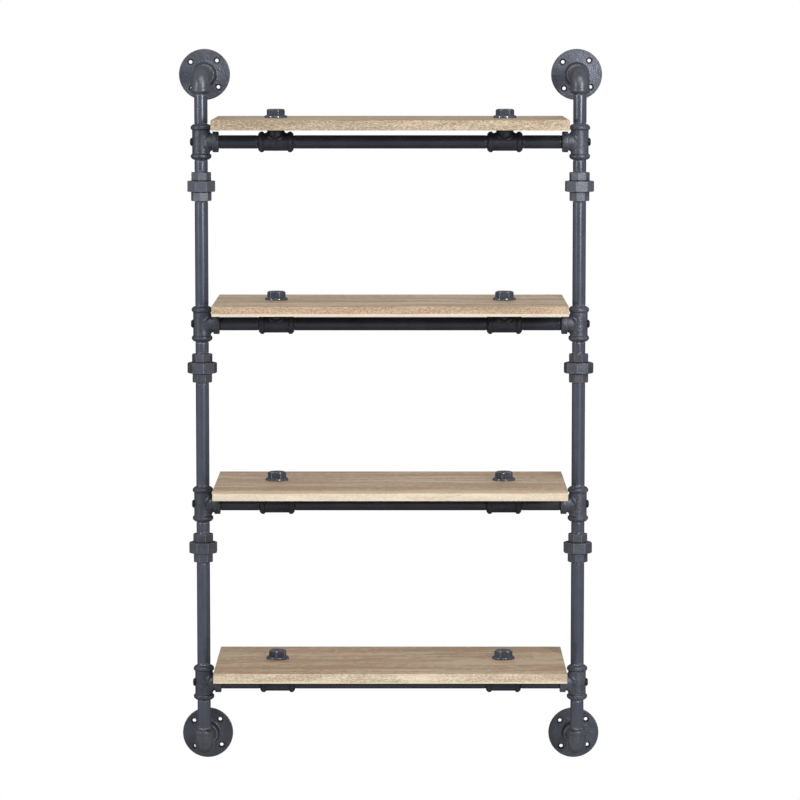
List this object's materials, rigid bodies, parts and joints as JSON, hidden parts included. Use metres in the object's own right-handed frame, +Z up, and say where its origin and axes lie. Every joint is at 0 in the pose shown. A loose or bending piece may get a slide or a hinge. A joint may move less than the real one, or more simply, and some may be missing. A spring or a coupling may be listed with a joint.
{
  "type": "pipe shelving unit",
  "caption": "Wall-mounted shelving unit: two pipe columns with flanges, elbows, tees and unions, pipe crossbars, and wooden boards held down by flanged hexagon plugs.",
  "frame": {"origin": "in the wall plane, in the middle between the four wall flanges", "axes": "+Z up, +Y into the wall, +X to the right of someone who faces the unit; the unit stands out from the wall towards -Y"},
  "size_m": [0.6844, 0.258, 1.1624],
  "materials": {
    "cast_iron": "dark blue-grey malleable iron, oiled satin skin, edges rubbed bright and a little rusty",
    "pipe_steel": "dark blue-grey lacquered steel pipe, satin",
    "crossbar_iron": "near-black malleable iron, satin",
    "crossbar_steel": "near-black lacquered steel pipe, satin",
    "fastening_steel": "black oxide screws and threaded plugs",
    "plug_steel": "dark blue-grey turned steel with rubbed bright edges",
    "oak": "sealed oak, matt, fine straight grain along the board"
  },
  "bodies": {
    "root": {"wall_flange_top_left": "cast_iron", "wall_nipple_top_left": "pipe_steel", "wall_elbow_top_left": "cast_iron", "end_pipe_top_left": "pipe_steel", "wall_flange_top_right": "cast_iron", "wall_nipple_top_right": "pipe_steel", "wall_elbow_top_right": "cast_iron", "end_pipe_top_right": "pipe_steel", "wall_flange_bottom_left": "cast_iron", "wall_nipple_bottom_left": "pipe_steel", "wall_elbow_bottom_left": "cast_iron", "end_pipe_bottom_left": "pipe_steel", "wall_flange_bottom_right": "cast_iron", "wall_nipple_bottom_right": "pipe_steel", "wall_elbow_bottom_right": "cast_iron", "end_pipe_bottom_right": "pipe_steel", "side_tee_left_1": "cast_iron", "side_tee_right_1": "cast_iron", "shelf_board_1": "oak", "crossbar_pipe_1": "crossbar_steel", "crossbar_tees_1": "crossbar_iron", "crossbar_nipples_1": "crossbar_steel", "side_tee_left_2": "cast_iron", "side_tee_right_2": "cast_iron", "shelf_board_2": "oak", "crossbar_pipe_2": "crossbar_steel", "crossbar_tees_2": "crossbar_iron", "crossbar_nipples_2": "crossbar_steel", "side_tee_left_3": "cast_iron", "side_tee_right_3": "cast_iron", "shelf_board_3": "oak", "crossbar_pipe_3": "crossbar_steel", "crossbar_tees_3": "crossbar_iron", "crossbar_nipples_3": "crossbar_steel", "side_tee_left_4": "cast_iron", "side_tee_right_4": "cast_iron", "shelf_board_4": "oak", "crossbar_pipe_4": "crossbar_steel", "crossbar_tees_4": "crossbar_iron", "crossbar_nipples_4": "crossbar_steel", "tee_screws": "fastening_steel", "crossbar_end_plugs": "fastening_steel", "shelf_plugs": "plug_steel", "column_pipe_left_1": "pipe_steel", "column_pipe_right_1": "pipe_steel", "union_nipples_1": "pipe_steel", "column_pipe_left_2": "pipe_steel", "column_pipe_right_2": "pipe_steel", "union_nipples_2": "pipe_steel", "column_pipe_left_3": "pipe_steel", "column_pipe_right_3": "pipe_steel", "union_nipples_3": "pipe_steel", "union_heads": "cast_iron", "union_nuts": "cast_iron", "union_tails": "cast_iron"}
  },
  "joints": []
}
